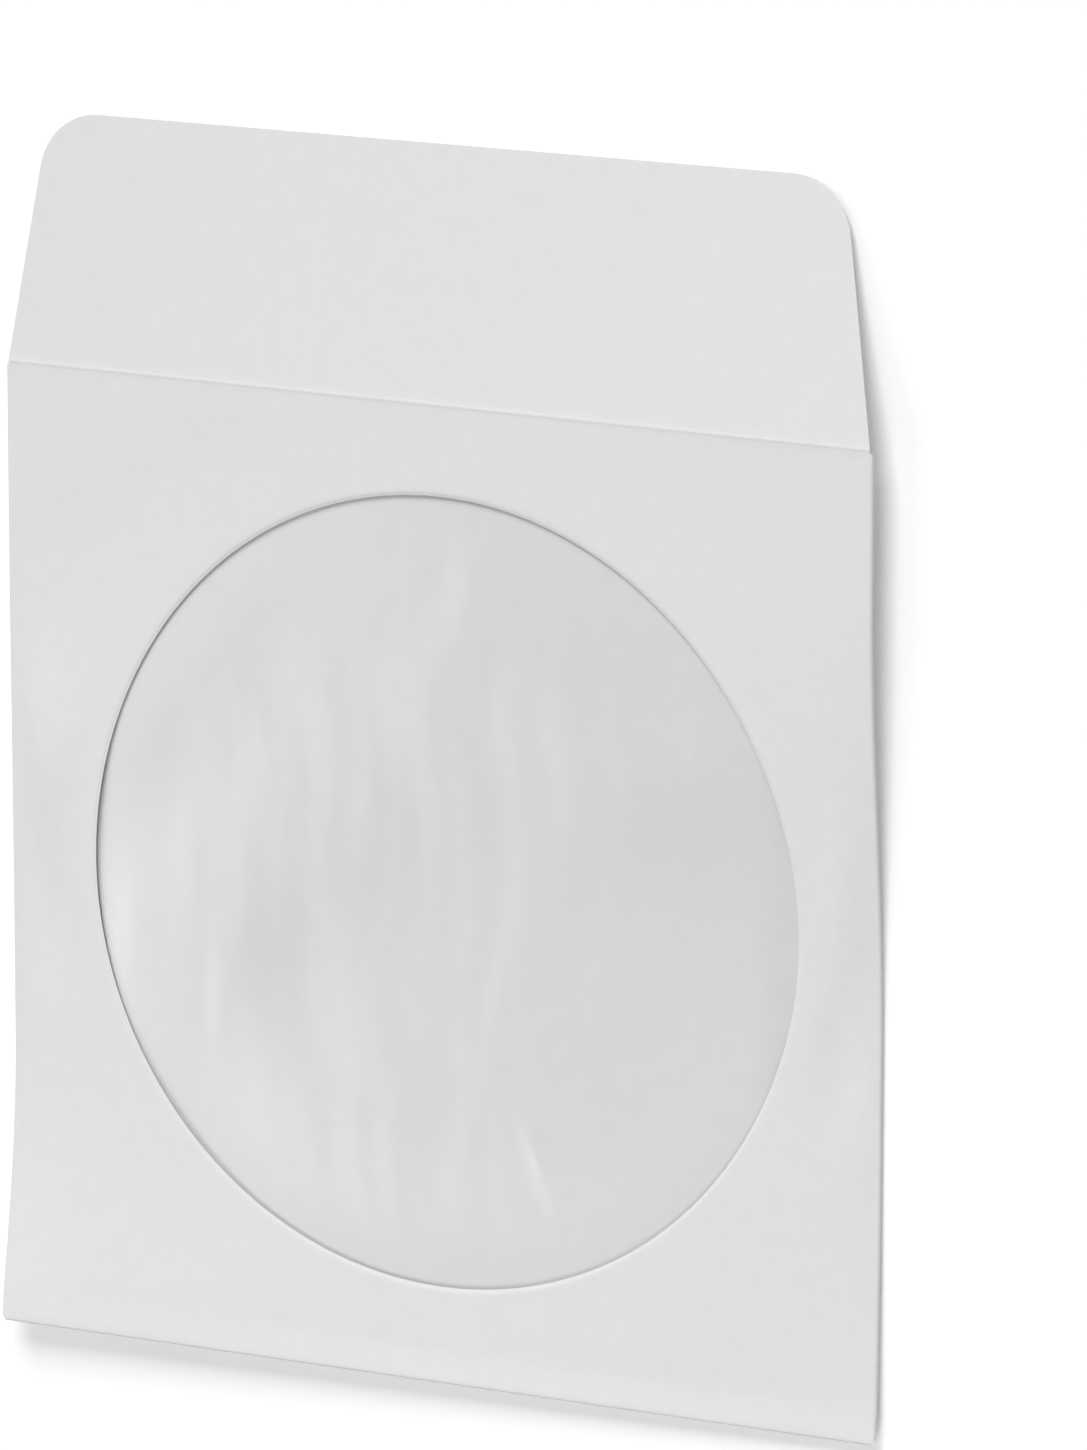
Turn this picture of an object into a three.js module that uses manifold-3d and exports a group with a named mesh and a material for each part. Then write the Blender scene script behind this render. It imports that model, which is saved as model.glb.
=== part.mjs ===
// Paper CD sleeve with a round film window, empty, lying on its back with its flap open.
// Millimetres, +Z up. +X runs across the sleeve, +Y from the bottom fold towards the flap.
// The sleeve is one die-cut sheet: window panel, closing flap, two side tabs and a back panel.
// Each layer is drawn flat, as the folded sheet would lie under a press, and is then relaxed:
// it takes the shallow curl, the twist and the slightly sprung pocket of the real sleeve.

import * as THREE from 'three';
import { mergeVertices, toCreasedNormals } from 'three/addons/utils/BufferGeometryUtils.js';
import Module from 'manifold-3d';

const wasm = await Module();
wasm.setup();

// Paper and film stock
const paperThickness = 0.12;
const filmThickness = 0.04;
const glueLine = 0.03;

// Pocket
const sleeveWidth = 125;
const sleeveHeight = 125;
const pocketClearance = 0.5;
const mouthDrop = 4;
const backPanelInset = 1;
const tabWidth = 11;
const tabRelief = 1.2;
const tabTaper = 6;

// Window and the film patch glued behind it
const windowDiameter = 101;
const windowCentreHeight = 63;
const windowOffset = 1.4;
const filmMargin = 4;

// Closing flap
const flapHeight = 32.2;
const flapTaper = 5.8;
const flapCornerRadius = 8.5;
const creaseWidth = 0.8;
const creaseRidge = 0.12;

// Curl that the empty sleeve keeps as it lies: it touches down along a flat band and at its flap
const bottomRise = 2.5;
const creaseRise = 1.9;
const bandStart = 38;
const bandWidth = 12;
const straightRun = 18;

// Twist: how much higher one end of the bottom fold and of the crease lies than its middle, as a
// share of the rise there. Below 1 the low end stays above the table
const bottomTwist = 0.7;
const creaseTwist = 0.85;

// The window panel springs flat between the side folds: the higher, the closer to the folds it bends
const springPower = 8;

// Fineness of the curl, the folds and the round cuts
const curlSpans = 10;
const flapSpans = 4;
const acrossSpans = 7;
const foldSegments = 6;
const cornerSegments = 10;
const windowSegments = 96;

// A fold's section runs this far into the panel beside it, so that the two join
const foldOverlap = 1;

// A cutter reaches past the curled sheet by this much, above and below
const cutterReach = 12;

// Layers of the folded sheet, from the back panel up to the window panel
const tabLevel = paperThickness + glueLine;
const tabTop = tabLevel + paperThickness;
const filmLevel = tabTop + pocketClearance;
const frontLevel = filmLevel + filmThickness + glueLine;
const frontTop = frontLevel + paperThickness;
const sideFoldRadius = (frontTop - tabLevel) / 2;
const bottomFoldRadius = frontTop / 2;

// Half widths of the panels, and the film patch's edges
const panelHalfWidth = sleeveWidth / 2 - sideFoldRadius;
const backHalfWidth = sleeveWidth / 2 - backPanelInset;
const filmHalf = windowDiameter / 2 + filmMargin;
const filmLeft = windowOffset - filmHalf;
const filmRight = windowOffset + filmHalf;

// The flap slopes from the crease down to the table, which its free edge touches
const flapDrop = creaseRise + frontLevel;
const flapReach = Math.sqrt(flapHeight ** 2 - flapDrop ** 2);
const overallLength = sleeveHeight + flapReach;

// Stations along the sleeve. curl is the sheet's rise there, spring the extra rise of the middle
// of the window panel, and twist the rise of the edge at +X
function curlStations() {
  const { lerp } = THREE.MathUtils;
  const bandEnd = bandStart + bandWidth;
  const riseEnd = sleeveHeight - straightRun;
  const creaseStart = sleeveHeight - creaseWidth / 2;
  const creaseEnd = sleeveHeight + creaseWidth / 2;
  const legEnd = lerp(bottomFoldRadius, bandStart, 1 / curlSpans);
  const bottomCurl = (y) => bottomRise * (1 - Math.sin((Math.PI / 2) * (y / bandStart)));
  const creaseCurl = (y) => (creaseRise * (1 - Math.cos((Math.PI * (y - bandEnd)) / (riseEnd - bandEnd)))) / 2;
  const flatRise = (y) => lerp(bottomCurl(legEnd), creaseRise, (y - legEnd) / (creaseStart - legEnd));
  const stations = [];

  for (let i = 0; i <= curlSpans; i++) {
    const y = lerp(bottomFoldRadius, bandStart, i / curlSpans);
    const curl = bottomCurl(y);
    const spring = i > 1 ? flatRise(y) - curl : 0;
    const twist = -bottomTwist * bottomCurl(Math.max(y, legEnd));
    stations.push({ y, curl, spring, twist });
  }
  for (let i = 0; i <= curlSpans; i++) {
    const y = lerp(bandEnd, riseEnd, i / curlSpans);
    const curl = creaseCurl(y);
    stations.push({ y, curl, spring: flatRise(y) - curl, twist: creaseTwist * curl });
  }
  const twistAtCrease = creaseTwist * creaseRise;
  stations.push({ y: creaseStart, curl: creaseRise, spring: 0, twist: twistAtCrease });
  stations.push({ y: sleeveHeight, curl: creaseRise + creaseRidge, spring: 0, twist: twistAtCrease });
  for (let i = 0; i <= flapSpans; i++) {
    const y = lerp(creaseEnd, overallLength, i / flapSpans);
    const share = (y - sleeveHeight) / flapReach;
    const twist = twistAtCrease * (1 - share);
    stations.push({ y, curl: creaseRise - flapDrop * share, spring: 0, twist });
  }
  return stations;
}

// Places across the sleeve at which the layers bend, closer together near the side folds
function bendsAcross() {
  const inner = panelHalfWidth - foldOverlap;
  const places = [-panelHalfWidth, filmLeft, filmRight, panelHalfWidth];
  for (let i = -acrossSpans; i <= acrossSpans; i++) {
    places.push(inner * Math.sin((Math.PI / 2) * (i / acrossSpans)));
  }
  return places.sort((a, b) => a - b);
}

const stations = curlStations();
const bends = bendsAcross();

// Rise of the relaxed sheet over the flat one, for a point at x of the layer at level
function riseAt(x, level, station) {
  const frontShare = THREE.MathUtils.clamp((level - tabTop) / pocketClearance, 0, 1);
  const towardsFold = Math.min(Math.abs(x) / panelHalfWidth, 1);
  const sprung = station.spring * frontShare * (1 - towardsFold ** springPower);
  return station.curl + sprung + (station.twist * x) / (sleeveWidth / 2);
}

// Manifold solid of a closed three.js geometry
function solidOf(geometry) {
  const bare = new THREE.BufferGeometry();
  bare.setAttribute('position', geometry.getAttribute('position').clone());
  if (geometry.index) bare.setIndex(geometry.index.clone());
  const merged = mergeVertices(bare, 1e-5);
  return new wasm.Manifold(new wasm.Mesh({
    numProp: 3,
    vertProperties: new Float32Array(merged.getAttribute('position').array),
    triVerts: new Uint32Array(merged.index.array),
  }));
}

// Splits every wall quad of an extrusion along the diagonal that rises with X, so that a layer's
// upper and lower faces stay parallel where the sheet is warped. A quad's six corners are listed as
// a, b, d and b, c, d
function alignDiagonals(geometry) {
  const position = geometry.getAttribute('position');
  const [, walls] = geometry.groups;
  for (let first = walls.start; first < walls.start + walls.count; first += 6) {
    if (position.getX(first + 1) > position.getX(first)) {
      position.copyAt(first + 2, position, first + 4);
      position.copyAt(first + 3, position, first);
    }
  }
}

// Layer of the sheet: a section drawn in X and Z that follows the stations along the sleeve
function relaxedLayer(section) {
  const spans = stations.length - 1;
  const geometry = new THREE.ExtrudeGeometry(section, { depth: spans, steps: spans, bevelEnabled: false });
  alignDiagonals(geometry);
  const position = geometry.getAttribute('position');
  for (let i = 0; i < position.count; i++) {
    const x = position.getX(i);
    const level = position.getY(i);
    const station = stations[spans - Math.round(position.getZ(i))];
    position.setXYZ(i, x, station.y, level + riseAt(x, level, station));
  }
  return solidOf(geometry);
}

// Section of a flat layer, with a corner at each place where it bends
function layerSection(left, right, low, high) {
  const between = bends.filter((x) => x > left && x < right);
  const places = [left, ...between, right];
  const lower = places.map((x) => new THREE.Vector2(x, low));
  const upper = places.map((x) => new THREE.Vector2(x, high)).reverse();
  return new THREE.Shape([...lower, ...upper]);
}

// Upright cutter over a plan outline, taller than the relaxed sheet
function planCutter(outline) {
  const geometry = new THREE.ExtrudeGeometry(outline, {
    depth: 2 * cutterReach,
    bevelEnabled: false,
    curveSegments: cornerSegments,
  });
  geometry.translate(0, 0, -cutterReach);
  return solidOf(geometry);
}

// Plan outline of a layer that is only cut to length
function lengthOutline(start, end) {
  return new THREE.Shape([
    new THREE.Vector2(-sleeveWidth, start),
    new THREE.Vector2(sleeveWidth, start),
    new THREE.Vector2(sleeveWidth, end),
    new THREE.Vector2(-sleeveWidth, end),
  ]);
}

// Fold section: a half ring of paper that bulges towards -X, with a leg along each panel
function foldSection(radius, upperLeg, lowerLeg) {
  const shape = new THREE.Shape();
  shape.moveTo(lowerLeg, 0);
  shape.lineTo(lowerLeg, paperThickness);
  shape.lineTo(radius, paperThickness);
  const inner = radius - paperThickness;
  for (let i = 1; i <= foldSegments; i++) {
    const angle = -Math.PI / 2 - (Math.PI * i) / foldSegments;
    shape.lineTo(radius + inner * Math.cos(angle), radius + inner * Math.sin(angle));
  }
  shape.lineTo(upperLeg, 2 * radius - paperThickness);
  shape.lineTo(upperLeg, 2 * radius);
  for (let i = 0; i <= foldSegments; i++) {
    const angle = Math.PI / 2 + (Math.PI * i) / foldSegments;
    shape.lineTo(radius + radius * Math.cos(angle), radius + radius * Math.sin(angle));
  }
  return shape;
}

// Plan outline of the window panel and the flap, which tapers to two rounded corners
function frontOutline() {
  const topHalfWidth = panelHalfWidth - flapTaper;
  const slant = Math.atan2(flapTaper, flapReach);
  const arcCentreY = overallLength - flapCornerRadius;
  const sideReach = topHalfWidth * Math.cos(slant) + overallLength * Math.sin(slant);
  const arcCentreX = (sideReach - flapCornerRadius - arcCentreY * Math.sin(slant)) / Math.cos(slant);
  const outline = new THREE.Shape();
  outline.moveTo(-panelHalfWidth, 0);
  outline.lineTo(panelHalfWidth, 0);
  outline.lineTo(panelHalfWidth, sleeveHeight);
  outline.absarc(arcCentreX, arcCentreY, flapCornerRadius, slant, Math.PI / 2);
  outline.absarc(-arcCentreX, arcCentreY, flapCornerRadius, Math.PI / 2, Math.PI - slant);
  outline.lineTo(-panelHalfWidth, sleeveHeight);
  return outline;
}

// Window panel and flap, with the round die-cut window
function windowPanel() {
  const layer = relaxedLayer(layerSection(-panelHalfWidth, panelHalfWidth, frontLevel, frontTop));
  const hole = new THREE.CylinderGeometry(
    windowDiameter / 2, windowDiameter / 2, 2 * cutterReach, windowSegments,
  );
  hole.rotateX(Math.PI / 2);
  hole.translate(windowOffset, windowCentreHeight, 0);
  return layer.intersect(planCutter(frontOutline())).subtract(solidOf(hole));
}

// Side fold and the tab behind it. side is 1 at +X and -1 at -X
function sideTab(side) {
  const outerEdge = sleeveWidth / 2;
  const innerEdge = outerEdge - tabWidth;
  const tabEnd = sleeveHeight - tabRelief;
  const fold = foldSection(sideFoldRadius, sideFoldRadius + foldOverlap, tabWidth);
  const section = new THREE.Shape(
    fold.getPoints().map((p) => new THREE.Vector2(side * (outerEdge - p.x), tabLevel + p.y)),
  );
  const plan = new THREE.Shape([
    new THREE.Vector2(side * (outerEdge + foldOverlap), tabRelief),
    new THREE.Vector2(side * (outerEdge - foldOverlap), tabRelief),
    new THREE.Vector2(side * innerEdge, tabRelief + tabTaper),
    new THREE.Vector2(side * innerEdge, tabEnd - tabTaper),
    new THREE.Vector2(side * (outerEdge - foldOverlap), tabEnd),
    new THREE.Vector2(side * (outerEdge + foldOverlap), tabEnd),
  ]);
  return relaxedLayer(section).intersect(planCutter(plan));
}

// Bottom fold, which runs across the sleeve and joins the window panel to the back panel.
// Its legs lie along the first span of both, where the sheet is straight
function bottomFold() {
  const [start, end] = stations;
  const section = foldSection(bottomFoldRadius, end.y, end.y);
  const geometry = new THREE.ExtrudeGeometry(section, { depth: 2 * backHalfWidth, bevelEnabled: false });
  const position = geometry.getAttribute('position');
  for (let i = 0; i < position.count; i++) {
    const x = position.getZ(i) - backHalfWidth;
    const y = position.getX(i);
    const level = position.getY(i);
    const share = Math.max(y - start.y, 0) / (end.y - start.y);
    const curl = THREE.MathUtils.lerp(start.curl, end.curl, share);
    position.setXYZ(i, x, y, level + riseAt(x, level, { ...start, curl }));
  }
  return solidOf(geometry);
}

// Back panel, folded up behind the tabs. Its top edge is the mouth of the pocket
function backPanel() {
  const layer = relaxedLayer(layerSection(-backHalfWidth, backHalfWidth, 0, paperThickness));
  return layer.intersect(planCutter(lengthOutline(0, sleeveHeight - mouthDrop)));
}

// Film patch behind the window
function windowFilm() {
  const layer = relaxedLayer(layerSection(filmLeft, filmRight, filmLevel, filmLevel + filmThickness));
  const plan = lengthOutline(windowCentreHeight - filmHalf, windowCentreHeight + filmHalf);
  return layer.intersect(planCutter(plan));
}

function meshOf(name, solid, material) {
  const { vertProperties, triVerts } = solid.getMesh();
  const geometry = new THREE.BufferGeometry();
  geometry.setAttribute('position', new THREE.BufferAttribute(vertProperties, 3));
  geometry.setIndex(new THREE.BufferAttribute(triVerts, 1));
  const mesh = new THREE.Mesh(toCreasedNormals(geometry, Math.PI / 6), material);
  mesh.name = name;
  return mesh;
}

const paper = new THREE.MeshStandardMaterial({ color: '#e6e6e3', roughness: 0.85, metalness: 0 });
const film = new THREE.MeshStandardMaterial({
  color: '#f3f5f5',
  roughness: 0.08,
  metalness: 0,
  transparent: true,
  opacity: 0.25,
});

const sheet = windowPanel().add(sideTab(1)).add(sideTab(-1)).add(bottomFold()).add(backPanel());

const sleeve = new THREE.Group();
sleeve.add(meshOf('paper_sleeve', sheet, paper));
sleeve.add(meshOf('window_film', windowFilm(), film));
sleeve.position.y = -overallLength / 2;

export default sleeve;
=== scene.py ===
import math

import bmesh
import bpy
from mathutils import Matrix, Vector, noise


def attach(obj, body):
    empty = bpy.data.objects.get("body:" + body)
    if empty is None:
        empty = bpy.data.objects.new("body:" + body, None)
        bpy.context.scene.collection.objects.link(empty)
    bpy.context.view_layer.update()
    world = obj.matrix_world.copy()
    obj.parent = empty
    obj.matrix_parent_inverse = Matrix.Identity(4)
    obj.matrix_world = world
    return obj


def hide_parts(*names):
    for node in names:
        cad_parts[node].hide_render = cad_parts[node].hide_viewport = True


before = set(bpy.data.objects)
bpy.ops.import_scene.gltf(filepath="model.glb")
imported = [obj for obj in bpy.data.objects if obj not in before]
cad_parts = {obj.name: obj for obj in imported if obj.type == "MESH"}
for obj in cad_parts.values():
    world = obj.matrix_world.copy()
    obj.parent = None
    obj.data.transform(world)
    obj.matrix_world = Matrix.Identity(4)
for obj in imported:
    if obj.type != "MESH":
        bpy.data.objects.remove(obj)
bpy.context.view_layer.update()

# All sizes are in mm until a mesh is finished. Heights are counted from the table
mm = 0.001


# The sleeve as the CAD source draws it, relaxed onto the table. Only the crease's ridge is lower here
sleeve = {
    "width": 125.0,
    "height": 125.0,
    "paper": 0.12,
    "film": 0.04,
    "glue": 0.03,
    "clearance": 0.5,
    "mouthDrop": 4.0,
    "backInset": 1.0,
    "tabWidth": 11.0,
    "tabRelief": 1.2,
    "tabTaper": 6.0,
    "windowRadius": 50.5,
    "windowX": 1.4,
    "windowY": 63.0,
    "filmMargin": 4.0,
    "flapHeight": 32.2,
    "flapTaper": 5.8,
    "flapCorner": 8.5,
    "creaseHalf": 0.4,  # half the crease's width
    "creaseRidge": 0.07,
    "bottomRise": 2.5,
    "creaseRise": 1.9,
    "bandStart": 38.0,  # the band that lies on the table
    "bandEnd": 50.0,
    "straightRun": 18.0,  # straight stretch below the crease
    "bottomTwist": 0.7,  # the twists are shares of the rise
    "creaseTwist": 0.85,
    "springPower": 8,  # a higher power springs up flatter
    "curlSpans": 10,  # the CAD's spans from the bottom fold to the band
}
tabLevel = sleeve["paper"] + sleeve["glue"]
tabTop = tabLevel + sleeve["paper"]
filmLevel = tabTop + sleeve["clearance"]
frontLevel = filmLevel + sleeve["film"] + sleeve["glue"]
frontTop = frontLevel + sleeve["paper"]
sideRadius = (frontTop - tabLevel) / 2
bottomRadius = frontTop / 2
panelHalf = sleeve["width"] / 2 - sideRadius
backHalf = sleeve["width"] / 2 - sleeve["backInset"]
tabEdge = sleeve["width"] / 2 - sleeve["tabWidth"]
tabEnd = sleeve["height"] - sleeve["tabRelief"]
mouth = sleeve["height"] - sleeve["mouthDrop"]
flapDrop = sleeve["creaseRise"] + frontLevel
flapReach = math.sqrt(sleeve["flapHeight"] ** 2 - flapDrop ** 2)
totalLength = sleeve["height"] + flapReach
creaseStart = sleeve["height"] - sleeve["creaseHalf"]
legEnd = bottomRadius + (sleeve["bandStart"] - bottomRadius) / sleeve["curlSpans"]
riseEnd = sleeve["height"] - sleeve["straightRun"]


def lerp(a, b, t):
    return a + (b - a) * t


def clamp(v):
    return max(0.0, min(1.0, v))


def smooth(v):
    v = clamp(v)
    return v * v * (3 - 2 * v)


def bottomCurl(y):
    return sleeve["bottomRise"] * (1 - math.sin(math.pi / 2 * clamp(y / sleeve["bandStart"])))


def creaseCurl(y):
    along = clamp((y - sleeve["bandEnd"]) / (riseEnd - sleeve["bandEnd"]))
    return sleeve["creaseRise"] * (1 - math.cos(math.pi * along)) / 2


# Rise of the sheet at y, the extra rise of the window panel's middle, and the twist at the +X edge
def stationAt(y):
    if y >= sleeve["height"]:
        share = (y - sleeve["height"]) / flapReach
        curl = sleeve["creaseRise"] - flapDrop * share
        twist = sleeve["creaseTwist"] * sleeve["creaseRise"] * (1 - share)
        return curl, 0.0, twist
    if y < sleeve["bandStart"]:
        curl = bottomCurl(y)
        twist = -sleeve["bottomTwist"] * bottomCurl(max(y, legEnd))
    else:
        curl = creaseCurl(y)
        twist = sleeve["creaseTwist"] * curl
    along = (y - legEnd) / (creaseStart - legEnd)
    spring = lerp(bottomCurl(legEnd), sleeve["creaseRise"], along) - curl if 0 < along < 1 else 0.0
    return curl, spring, twist


# The back panel springs up by a share of the window panel's spring. Its waves leave some room spare
# below the film, and none of them reaches the table. Behind the rim it lies close to the film
backPanel = {"share": 0.7, "spare": 0.25, "leastRoom": 0.01, "hugWidth": 8.0}


# Rise at x of what springs up in the middle, between the folds or the back panel's edges
def sprungAt(x, spring, half):
    return spring * (1 - min(abs(x) / half, 1) ** sleeve["springPower"])


def riseAt(x, y, level):
    curl, spring, twist = stationAt(y)
    frontShare = clamp((level - tabTop) / sleeve["clearance"])
    sprung = sprungAt(x, spring, lerp(backHalf, panelHalf, frontShare))
    return curl + sprung * lerp(backPanel["share"], 1, frontShare) + twist * x / (sleeve["width"] / 2)


# Soft dents of handled paper: centre x and y, reach along and across, turn in degrees, depth
frontDents = [
    (-58.0, 54.0, 6.0, 10.0, 0, -0.75),
    (-58.0, 76.0, 6.0, 10.0, 0, 1.1),
    (59.0, 47.0, 5.0, 9.0, 0, -0.7),
    (59.0, 67.0, 5.0, 10.0, 0, 0.6),
    (-42.0, 108.0, 22.0, 7.0, 35, -0.20),
    (-40.0, 4.0, 26.0, 10.0, 0, 0.12),
    (40.0, 4.0, 26.0, 10.0, 0, 0.12),
]
backWaves = [
    (-46.0, 87.0, 16.0, 8.0, 50, 0.9),
    (-37.0, 73.0, 22.0, 7.0, 52, -1.0),
    (-27.0, 64.0, 28.0, 9.0, 50, 1.0),
    (-15.0, 50.0, 26.0, 9.0, 45, -0.9),
    (34.0, 83.0, 17.0, 8.0, 15, 0.4),
    (36.0, 66.0, 17.0, 9.0, 15, -0.25),
    (-5.0, 16.0, 32.0, 9.0, 0, 0.5),
    (10.0, 101.0, 28.0, 8.0, -6, 0.4),
]
# Gaps that a form keeps from the tabs and the bottom fold, and the runs over which it grows
waveFade = {"tabGap": 1.0, "sideRun": 9.0, "bottomGap": 4.0, "endRun": 12.0}
hugFade = {"tabGap": 1.0, "sideRun": 5.0, "bottomGap": 3.0, "endRun": 8.0}
dentFade = {"sideRun": 6.0, "endRun": 9.0, "rimRun": 6.0}


def dentAt(dents, x, y):
    total = 0.0
    for cx, cy, along, across, turn, depth in dents:
        a = math.radians(turn)
        u = (x - cx) * math.cos(a) + (y - cy) * math.sin(a)
        v = -(x - cx) * math.sin(a) + (y - cy) * math.cos(a)
        total += depth * math.exp(-((u / along) ** 2) - (v / across) ** 2)
    return total


# The die presses the rim of the window down a little as it cuts. The film goes down with it. Under the
# paper it stays down past the rim's width and then meets the margin, and inside the window it relaxes
pressedRim = {"depth": 0.17, "width": 0.5, "relief": 18.0, "marginEdge": 1.4, "marginRun": 2.2}


def fromRim(x, y):
    return math.hypot(x - sleeve["windowX"], y - sleeve["windowY"]) - sleeve["windowRadius"]


def rimPress(x, y):
    return -pressedRim["depth"] * (1 - smooth(fromRim(x, y) / pressedRim["width"]))


def filmPress(x, y):
    away = fromRim(x, y)
    if away < 0:
        return -pressedRim["depth"] * smooth(1 + away / pressedRim["relief"])
    margin = (away - pressedRim["marginEdge"]) / pressedRim["marginRun"]
    return -pressedRim["depth"] * (1 - smooth(margin))


# Place in the row frame, in mm, of a point drawn on the flat sheet
def relaxed(x, y, level, extra=0.0):
    return Vector((x, y - totalLength / 2, level + riseAt(x, y, level) + extra))


def backFade(fade, x, y):
    side = smooth((tabEdge - fade["tabGap"] - abs(x)) / fade["sideRun"])
    bottom = smooth((y - fade["bottomGap"]) / fade["endRun"])
    return side * bottom * smooth((mouth - y) / fade["endRun"])


def backPoint(x, y):
    sprung = sprungAt(x, stationAt(y)[1], backHalf)
    above = sleeve["clearance"] + sprung * (1 - backPanel["share"]) - backPanel["spare"]
    below = max(sprung * backPanel["share"], backPanel["leastRoom"])
    hug = above * math.exp(-((fromRim(x, y) / backPanel["hugWidth"]) ** 2)) * backFade(hugFade, x, y)
    wave = dentAt(backWaves, x, y) * backFade(waveFade, x, y) + hug
    room = above if wave > 0 else below
    return relaxed(x, y, sleeve["paper"] / 2, room * math.tanh(wave / room))


# The dents die out at the folds, the crease and the window
def frontDent(x, y):
    side = smooth((panelHalf - abs(x)) / dentFade["sideRun"])
    bottom = smooth(y / dentFade["endRun"])
    edge = side * bottom * smooth((sleeve["height"] - y) / dentFade["endRun"])
    return dentAt(frontDents, x, y) * edge * smooth(fromRim(x, y) / dentFade["rimRun"])


def frontPoint(x, y, press=0.0):
    ridge = 0.0
    off = abs(y - sleeve["height"]) / sleeve["creaseHalf"]
    if off < 1:
        ridge = sleeve["creaseRidge"] * (1 - smooth(off))
    return relaxed(x, y, frontLevel + sleeve["paper"] / 2, frontDent(x, y) + ridge + press)


print("sheet rules ready")


def sRgb(code):
    channels = [int(code[i:i + 2], 16) / 255 for i in (1, 3, 5)]
    return [c / 12.92 if c <= 0.04045 else ((c + 0.055) / 1.055) ** 2.4 for c in channels] + [1.0]


def newMaterial(name):
    material = bpy.data.materials.new(name)
    material.use_nodes = True
    nodes = material.node_tree.nodes
    nodes.clear()
    return material, nodes, material.node_tree.links


def addNode(nodes, kind, **values):
    node = nodes.new(kind)
    for name, value in values.items():
        if name in node.inputs:
            node.inputs[name].default_value = value
        else:
            setattr(node, name, value)
    return node


# Uncoated white wood-free paper: matt, with a faint cloudy formation and short fibres
paperLook = {
    "colour": "#eaebe9",
    "cloud": "#e2e3e1",
    # The cut edge's colours are the paper's painted lighter: a painted highlight for light catching the
    # cut edge
    "paintedHighlightEdgeColour": "#f6f5f2",
    "paintedHighlightEdgeCloud": "#efeeea",
    "roughness": 0.86,
    "specular": 0.25,
    "clouds": {"Scale": 420.0, "Detail": 5.0, "Roughness": 0.68},
    "fibres": {"Scale": 4200.0, "Detail": 4.0, "Roughness": 0.65},
    "tooth": {"Strength": 0.35, "Distance": 0.00003},
}


def uncoatedPaper(name, colour, cloud):
    material, nodes, links = newMaterial(name)
    place = addNode(nodes, "ShaderNodeTexCoord")
    clouds = addNode(nodes, "ShaderNodeTexNoise", **paperLook["clouds"])
    mix = addNode(nodes, "ShaderNodeMix", data_type="RGBA")
    mix.inputs[6].default_value = sRgb(cloud)  # sockets 6, 7 and 2 are the colour ones
    mix.inputs[7].default_value = sRgb(colour)
    fibres = addNode(nodes, "ShaderNodeTexNoise", **paperLook["fibres"])
    tooth = addNode(nodes, "ShaderNodeBump", **paperLook["tooth"])
    shader = addNode(nodes, "ShaderNodeBsdfPrincipled", Roughness=paperLook["roughness"])
    shader.inputs["Specular IOR Level"].default_value = paperLook["specular"]
    output = addNode(nodes, "ShaderNodeOutputMaterial")
    links.new(place.outputs["Object"], clouds.inputs["Vector"])
    links.new(place.outputs["Object"], fibres.inputs["Vector"])
    links.new(clouds.outputs["Fac"], mix.inputs[0])
    links.new(mix.outputs[2], shader.inputs["Base Color"])
    links.new(fibres.outputs["Fac"], tooth.inputs["Height"])
    links.new(tooth.outputs["Normal"], shader.inputs["Normal"])
    links.new(shader.outputs["BSDF"], output.inputs["Surface"])
    return material


# Clear polypropylene film: seen through, with a gloss that grows as it is seen at a slant
filmLook = {"clear": "#fefefe", "roughness": 0.12, "least": 0.03, "grazing": 0.5, "fall": 4.0}


def clearFilm(name):
    material, nodes, links = newMaterial(name)
    clear = addNode(nodes, "ShaderNodeBsdfTransparent", Color=sRgb(filmLook["clear"]))
    gloss = addNode(nodes, "ShaderNodeBsdfGlossy", Color=(1, 1, 1, 1), Roughness=filmLook["roughness"])
    facing = addNode(nodes, "ShaderNodeLayerWeight", Blend=0.5)
    steep = addNode(nodes, "ShaderNodeMath", operation="POWER")
    steep.inputs[1].default_value = filmLook["fall"]
    share = addNode(nodes, "ShaderNodeMath", operation="MULTIPLY_ADD")
    share.inputs[1].default_value = filmLook["grazing"]
    share.inputs[2].default_value = filmLook["least"]
    mix = addNode(nodes, "ShaderNodeMixShader")
    output = addNode(nodes, "ShaderNodeOutputMaterial")
    links.new(facing.outputs["Facing"], steep.inputs[0])
    links.new(steep.outputs["Value"], share.inputs[0])
    links.new(share.outputs["Value"], mix.inputs[0])
    links.new(clear.outputs["BSDF"], mix.inputs[1])
    links.new(gloss.outputs["BSDF"], mix.inputs[2])
    links.new(mix.outputs["Shader"], output.inputs["Surface"])
    return material


paperMaterial = uncoatedPaper("uncoated white paper, matt", paperLook["colour"], paperLook["cloud"])
# The cut edge material is a lighter copy of the paper, a painted highlight on every cut edge
paintedHighlightEdgeMaterial = uncoatedPaper("cut paper edge, painted highlight", paperLook["paintedHighlightEdgeColour"], paperLook["paintedHighlightEdgeCloud"])
filmMaterial = clearFilm("clear polypropylene film, glossy")


# The mesh is the sheet's middle surface. Solidify gives it its thickness, half to each side
def finishMesh(mesh, name, materials, node, thickness):
    bmesh.ops.recalc_face_normals(mesh, faces=mesh.faces)
    bmesh.ops.transform(mesh, matrix=Matrix.Scale(mm, 4), verts=mesh.verts)
    data = bpy.data.meshes.new(name)
    for face in mesh.faces:
        face.smooth = True
    for edge in mesh.edges:
        edge.smooth = not edge.is_boundary  # the cut edge stays crisp
    mesh.to_mesh(data)
    mesh.free()
    piece = bpy.data.objects.new(name, data)
    bpy.context.scene.collection.objects.link(piece)
    for material in materials:
        data.materials.append(material)
    shell = piece.modifiers.new("thickness", "SOLIDIFY")
    shell.thickness = thickness * mm
    shell.offset = 0
    shell.material_offset_rim = len(materials) - 1  # the cut edge takes the last material
    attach(piece, "root")
    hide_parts(node)


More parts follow.
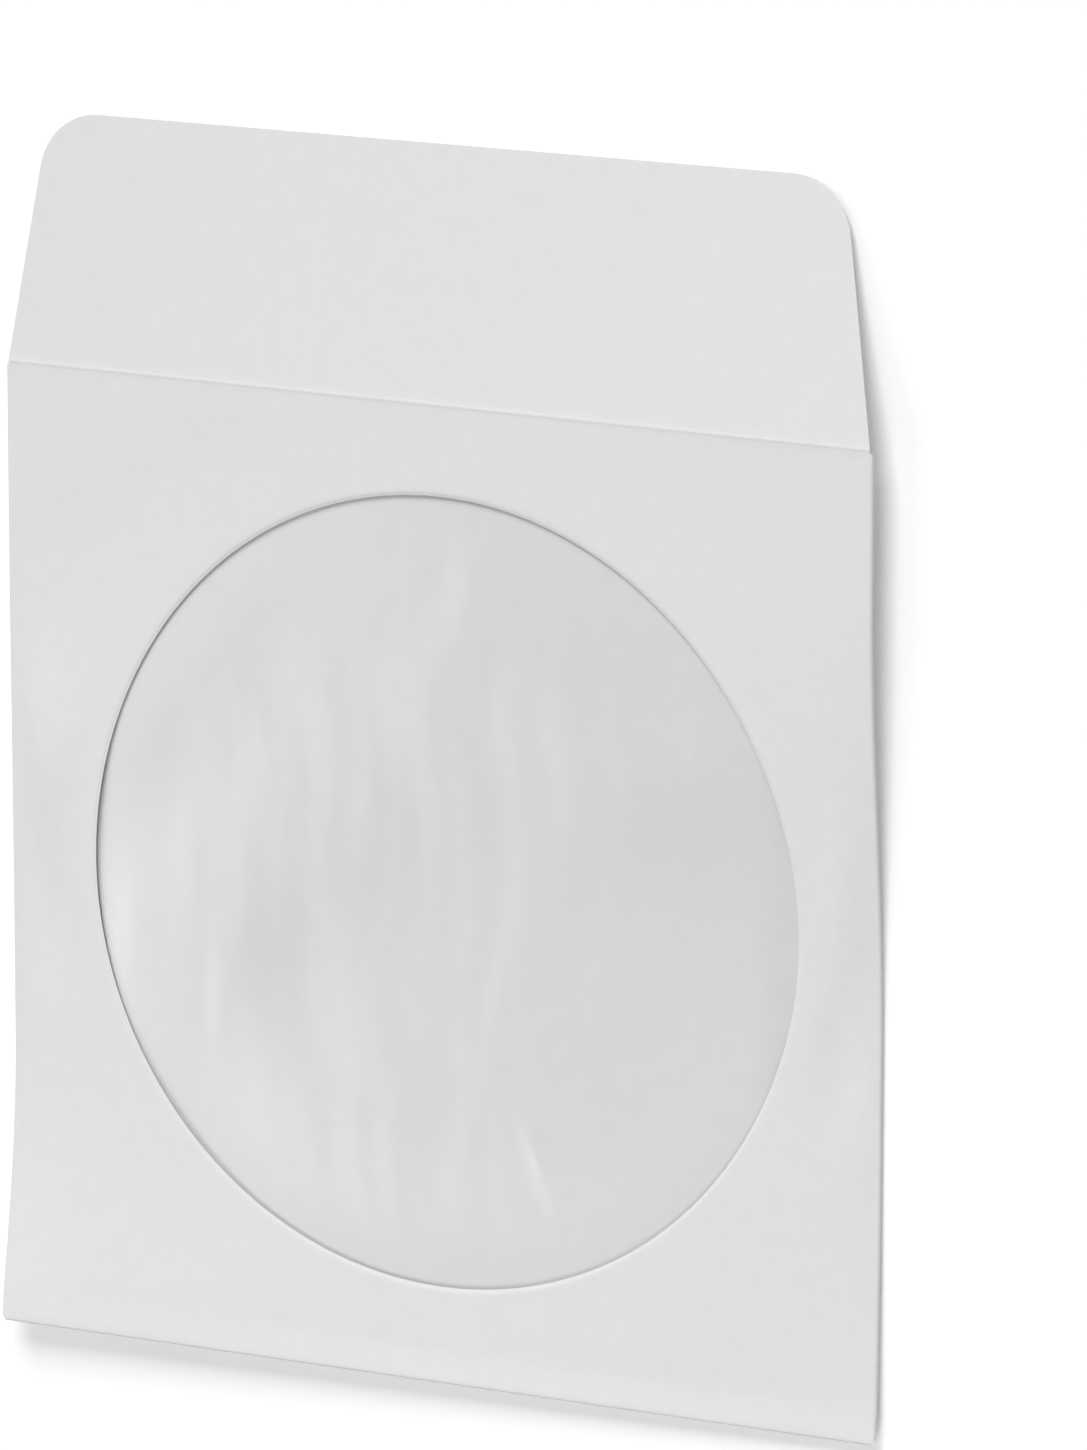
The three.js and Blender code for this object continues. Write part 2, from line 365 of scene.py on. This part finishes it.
# The die-cut sheet: rings from the window out to the panel's edges, then each fold and panel
sheetGrid = {
    "side": 96,
    "rimRings": (0.12, 0.24, 0.36, 0.48, 0.9),
    "rings": 22,
    "foldSteps": 8,
    "backRows": 60,
    "tabRows": 8,
    "creaseRows": 8,
    "flapRows": 22,
    "cornerRows": 12,
}


# Places on the window panel's edges, anticlockwise from its lower left corner, one for each ray
def edgeTargets():
    count = sheetGrid["side"]
    low, high = bottomRadius, creaseStart
    points = []
    for i in range(count):
        points.append((lerp(-panelHalf, panelHalf, i / count), low))
    for i in range(count):
        points.append((panelHalf, lerp(low, high, i / count)))
    for i in range(count):
        points.append((lerp(panelHalf, -panelHalf, i / count), high))
    for i in range(count):
        points.append((-panelHalf, lerp(high, low, i / count)))
    return points


# Extrudes a row of edges and puts each new vertex where its ray goes
def growRow(mesh, ray, edges, position):
    made = bmesh.ops.extrude_edge_only(mesh, edges=edges)["geom"]
    verts = set(g for g in made if isinstance(g, bmesh.types.BMVert))
    for vert in verts:
        vert.co = position(vert[ray])
    return [g for g in made if isinstance(g, bmesh.types.BMEdge) and all(v in verts for v in g.verts)]


# Window panel from the pressed rim outwards. Returns the edges of its outline
def windowPanel(mesh, ray, targets):
    radius = sleeve["windowRadius"]
    centre = Vector((sleeve["windowX"], sleeve["windowY"]))
    ways = [(Vector(target) - centre).normalized() for target in targets]

    def rimPoint(i, away):
        spot = centre + ways[i] * (radius + away)
        return frontPoint(spot.x, spot.y, rimPress(spot.x, spot.y))

    circle = bmesh.ops.create_circle(mesh, segments=len(targets), radius=radius)["verts"]
    for i, vert in enumerate(circle):
        vert[ray] = i
        vert.co = rimPoint(i, 0.0)
    edges = list(mesh.edges)
    for away in sheetGrid["rimRings"]:
        edges = growRow(mesh, ray, edges, lambda i, away=away: rimPoint(i, away))
    last = sheetGrid["rimRings"][-1]
    for step in range(1, sheetGrid["rings"] + 1):
        def ring(i, share=step / sheetGrid["rings"]):
            spot = (centre + ways[i] * (radius + last)).lerp(Vector(targets[i]), share)
            return frontPoint(spot.x, spot.y)
        edges = growRow(mesh, ray, edges, ring)
    return edges


# Crease and flap, with the tapered sides and the two rounded corners
def flap(mesh, ray, edges, targets):
    corner = sleeve["flapCorner"]
    slant = math.atan2(sleeve["flapTaper"], flapReach)
    arcY = totalLength - corner
    sideReach = (panelHalf - sleeve["flapTaper"]) * math.cos(slant) + totalLength * math.sin(slant)
    arcX = (sideReach - corner - arcY * math.sin(slant)) / math.cos(slant)
    arcLow = arcY + corner * math.sin(slant)
    creaseRows, flapRows, cornerRows = (sheetGrid[k] for k in ("creaseRows", "flapRows", "cornerRows"))
    rows = [creaseStart + sleeve["creaseHalf"] * k / (creaseRows / 2) for k in range(1, creaseRows + 1)]
    rows += [lerp(rows[-1], arcLow, k / flapRows) for k in range(1, flapRows + 1)]
    for k in range(1, cornerRows + 1):
        rows.append(arcY + corner * math.sin(lerp(slant, math.pi / 2, k / cornerRows)))

    def flapHalf(y):
        if y <= sleeve["height"]:
            return panelHalf
        if y <= arcLow:
            return (sideReach - y * math.sin(slant)) / math.cos(slant)
        return arcX + math.sqrt(max(corner ** 2 - (y - arcY) ** 2, 0))

    for y in rows:
        def across(i, y=y):
            return frontPoint(targets[i][0] * flapHalf(y) / panelHalf, y)
        edges = growRow(mesh, ray, edges, across)


# Bottom fold, and the back panel up to its mouth
def backWithFold(mesh, ray, edges, targets):
    foldRadius = bottomRadius - sleeve["paper"] / 2
    narrowed = backHalf / panelHalf
    for k in range(1, sheetGrid["foldSteps"] + 1):
        def fold(i, angle=math.pi * k / sheetGrid["foldSteps"]):
            x = targets[i][0] * lerp(1, narrowed, angle / math.pi)
            level = bottomRadius + foldRadius * math.cos(angle)
            y = bottomRadius - foldRadius * math.sin(angle)
            return relaxed(x, y, level)
        edges = growRow(mesh, ray, edges, fold)
    for k in range(1, sheetGrid["backRows"] + 1):
        def back(i, y=lerp(bottomRadius, mouth, k / sheetGrid["backRows"])):
            return backPoint(targets[i][0] * backHalf / panelHalf, y)
        edges = growRow(mesh, ray, edges, back)


# Side fold, and the tapered tab behind it. The sign is that of the side's X
def tabWithFold(mesh, ray, edges, sign, first):
    side = sheetGrid["side"]
    foldRadius = sideRadius - sleeve["paper"] / 2

    def alongOf(i):
        share = ((i - first) % (4 * side)) / side
        return share if sign > 0 else 1 - share

    for k in range(1, sheetGrid["foldSteps"] + 1):
        def bend(i, angle=math.pi * k / sheetGrid["foldSteps"]):
            x = sign * (panelHalf + foldRadius * math.sin(angle))
            under = smooth(angle / math.pi)
            low = lerp(bottomRadius, sleeve["tabRelief"], under)
            y = lerp(low, lerp(creaseStart, tabEnd, under), alongOf(i))
            level = tabLevel + sideRadius + foldRadius * math.cos(angle)
            return relaxed(x, y, level)
        edges = growRow(mesh, ray, edges, bend)
    for k in range(1, sheetGrid["tabRows"] + 1):
        def tab(i, share=k / sheetGrid["tabRows"]):
            x = sign * lerp(panelHalf, tabEdge, share)
            taper = sleeve["tabTaper"] * share
            y = lerp(sleeve["tabRelief"] + taper, tabEnd - taper, alongOf(i))
            return relaxed(x, y, tabLevel + sleeve["paper"] / 2)
        edges = growRow(mesh, ray, edges, tab)


def paperSheet():
    side = sheetGrid["side"]
    mesh = bmesh.new()
    ray = mesh.verts.layers.int.new("ray")
    targets = edgeTargets()
    outline = windowPanel(mesh, ray, targets)

    def onSide(number):
        rays = set(i % len(targets) for i in range(number * side, (number + 1) * side + 1))
        return [e for e in outline if all(v[ray] in rays for v in e.verts)]

    bottomEdges, rightEdges, topEdges, leftEdges = (onSide(number) for number in range(4))
    flap(mesh, ray, topEdges, targets)
    backWithFold(mesh, ray, bottomEdges, targets)
    tabWithFold(mesh, ray, rightEdges, 1, side)
    tabWithFold(mesh, ray, leftEdges, -1, 3 * side)
    return mesh


finishMesh(
    paperSheet(), "folded_paper_sheet", [paperMaterial, paintedHighlightEdgeMaterial],
    "paper_sleeve", sleeve["paper"],
)
print("paper sheet made")


# The film patch: slack inside its pasted margin, in long ripples with two short sharp creases.
# The creases are given as the dents are, but from the window's middle
filmSlack = {
    "cells": 145,
    "tightEdge": 1.5,
    "slackRun": 12,
    "drift": {"height": 1.6, "x": 30, "y": 22, "seed": 5.3},
    "long": {"height": 1.0, "x": 9, "y": 34, "seed": 3.7},
    "short": {"height": 0.28, "x": 3.2, "y": 17, "seed": 9.1},
    "rippleHeight": 0.11,
    "sharpHeight": 0.14,
    "sharp": [(15.0, -34.0, 5.0, 1.2, 112, 1.15), (37.0, 22.0, 6.0, 1.0, 60, 0.5)],
}


def rippleAt(kind, x, y, drift=0.0):
    ripple = filmSlack[kind]
    spot = Vector((x / ripple["x"] + drift, y / ripple["y"], ripple["seed"]))
    return ripple["height"] * noise.noise(spot)


def filmPatch():
    half = sleeve["windowRadius"] + sleeve["filmMargin"]
    mesh = bmesh.new()
    cells = filmSlack["cells"]
    bmesh.ops.create_grid(mesh, x_segments=cells, y_segments=cells, size=half)
    for vert in mesh.verts:
        dx, dy = vert.co.x, vert.co.y
        inside = sleeve["windowRadius"] - filmSlack["tightEdge"] - math.hypot(dx, dy)
        drift = rippleAt("drift", dx, dy)
        ripple = rippleAt("long", dx, dy, drift) + rippleAt("short", dx, dy, drift)
        wrinkle = filmSlack["rippleHeight"] * ripple
        wrinkle += filmSlack["sharpHeight"] * dentAt(filmSlack["sharp"], dx, dy)
        extra = smooth(inside / filmSlack["slackRun"]) * wrinkle
        x, y = dx + sleeve["windowX"], dy + sleeve["windowY"]
        rise = extra + frontDent(x, y) + filmPress(x, y)
        vert.co = relaxed(x, y, filmLevel + sleeve["film"] / 2, rise)
    return mesh


finishMesh(filmPatch(), "clear_film_patch", [filmMaterial], "window_film", sleeve["film"])
print("film patch made")


# A pale seamless table. It glows a little for the camera only, so that the camera sees it white
# apart from the sleeve's own soft shadow. It lies a hair below the sheet, to share no plane with it
tableLook = {"colour": "#f0f0f0", "roughness": 0.9, "lift": 0.22, "halfSize": 3.0, "drop": 0.02}


def paleTable():
    material, nodes, links = newMaterial("pale studio table, matt")
    light = addNode(nodes, "ShaderNodeLightPath")
    seen = addNode(nodes, "ShaderNodeBsdfPrincipled", Roughness=tableLook["roughness"])
    seen.inputs["Base Color"].default_value = sRgb(tableLook["colour"])
    lift = addNode(nodes, "ShaderNodeEmission", Color=(1, 1, 1, 1), Strength=tableLook["lift"])
    lifted = addNode(nodes, "ShaderNodeAddShader")
    mix = addNode(nodes, "ShaderNodeMixShader")
    output = addNode(nodes, "ShaderNodeOutputMaterial")
    links.new(seen.outputs["BSDF"], lifted.inputs[0])
    links.new(lift.outputs["Emission"], lifted.inputs[1])
    links.new(light.outputs["Is Camera Ray"], mix.inputs[0])
    links.new(seen.outputs["BSDF"], mix.inputs[1])
    links.new(lifted.outputs["Shader"], mix.inputs[2])
    links.new(mix.outputs["Shader"], output.inputs["Surface"])
    mesh = bmesh.new()
    bmesh.ops.create_grid(mesh, x_segments=1, y_segments=1, size=tableLook["halfSize"])
    data = bpy.data.meshes.new("table")
    mesh.to_mesh(data)
    mesh.free()
    data.materials.append(material)
    table = bpy.data.objects.new("table", data)
    table.location.z = -tableLook["drop"] * mm
    bpy.context.scene.collection.objects.link(table)


paleTable()

# Square softboxes that face the sleeve. Power in watts, places and sizes in metres
studio = {
    "world": 0.19,
    "key": {"power": 48.1, "place": (0.0, 1.9, 1.5), "size": 1.3},
    "fill": {"power": 0.95, "place": (0.08, -0.42, 0.40), "size": 0.3},
    "glint": {"power": 1.7, "place": (-0.94, -0.36, 0.82), "size": 0.8},
    "strip": {"power": 0.8, "place": (-0.82, -0.35, 0.88), "size": 0.22},
}


def studioLight():
    world = bpy.data.worlds.new("soft studio")
    bpy.context.scene.world = world
    world.use_nodes = True
    nodes, links = world.node_tree.nodes, world.node_tree.links
    nodes.clear()
    light = addNode(nodes, "ShaderNodeLightPath")
    room = addNode(nodes, "ShaderNodeBackground", Color=(1, 1, 1, 1), Strength=studio["world"])
    white = addNode(nodes, "ShaderNodeBackground", Color=(1, 1, 1, 1), Strength=1.0)
    mix = addNode(nodes, "ShaderNodeMixShader")
    output = addNode(nodes, "ShaderNodeOutputWorld")
    links.new(light.outputs["Is Camera Ray"], mix.inputs[0])
    links.new(room.outputs["Background"], mix.inputs[1])
    links.new(white.outputs["Background"], mix.inputs[2])
    links.new(mix.outputs["Shader"], output.inputs["Surface"])
    for name in ("key", "fill", "glint", "strip"):
        box = studio[name]
        lamp = bpy.data.lights.new(name, "AREA")
        lamp.shape = "SQUARE"
        lamp.size = box["size"]
        lamp.energy = box["power"]
        softbox = bpy.data.objects.new(name, lamp)
        bpy.context.scene.collection.objects.link(softbox)
        softbox.location = box["place"]
        softbox.rotation_mode = "QUATERNION"
        softbox.rotation_quaternion = (-Vector(box["place"])).to_track_quat("-Z", "Y")


studioLight()

# Camera fitted to the pocket's corners, the window and the flap. Angles in degrees, place in mm
# with Y counted from the bottom fold, the nearest distance drawn in metres
shot = {
    "azimuth": 29.12,
    "elevation": 11.95,
    "roll": -0.04,
    "place": (587.64, 334.68, 1028.46),
    "lens": 241.4,
    "sensor": 36,
    "nearest": 0.05,
}


def addCamera():
    azimuth, elevation, roll = (math.radians(shot[k]) for k in ("azimuth", "elevation", "roll"))
    level = math.cos(elevation)
    back = Vector((math.sin(azimuth) * level, math.sin(elevation), math.cos(azimuth) * level))
    right = (-back).cross(Vector((0, 1, 0))).normalized()
    down = (-back).cross(right)
    turnedRight = right * math.cos(roll) + down * math.sin(roll)
    turnedDown = down * math.cos(roll) - right * math.sin(roll)
    data = bpy.data.cameras.new("camera")
    data.lens = shot["lens"]
    data.sensor_width = shot["sensor"]
    data.clip_start = shot["nearest"]
    camera = bpy.data.objects.new("camera", data)
    bpy.context.scene.collection.objects.link(camera)
    camera.rotation_mode = "QUATERNION"
    turn = Matrix((turnedRight, -turnedDown, back)).transposed()
    camera.rotation_quaternion = turn.to_quaternion()
    x, y, z = shot["place"]
    camera.location = Vector((x, y - totalLength / 2, z)) * mm
    bpy.context.scene.camera = camera


addCamera()
bpy.context.scene.view_settings.view_transform = "Standard"

print("scene ready")
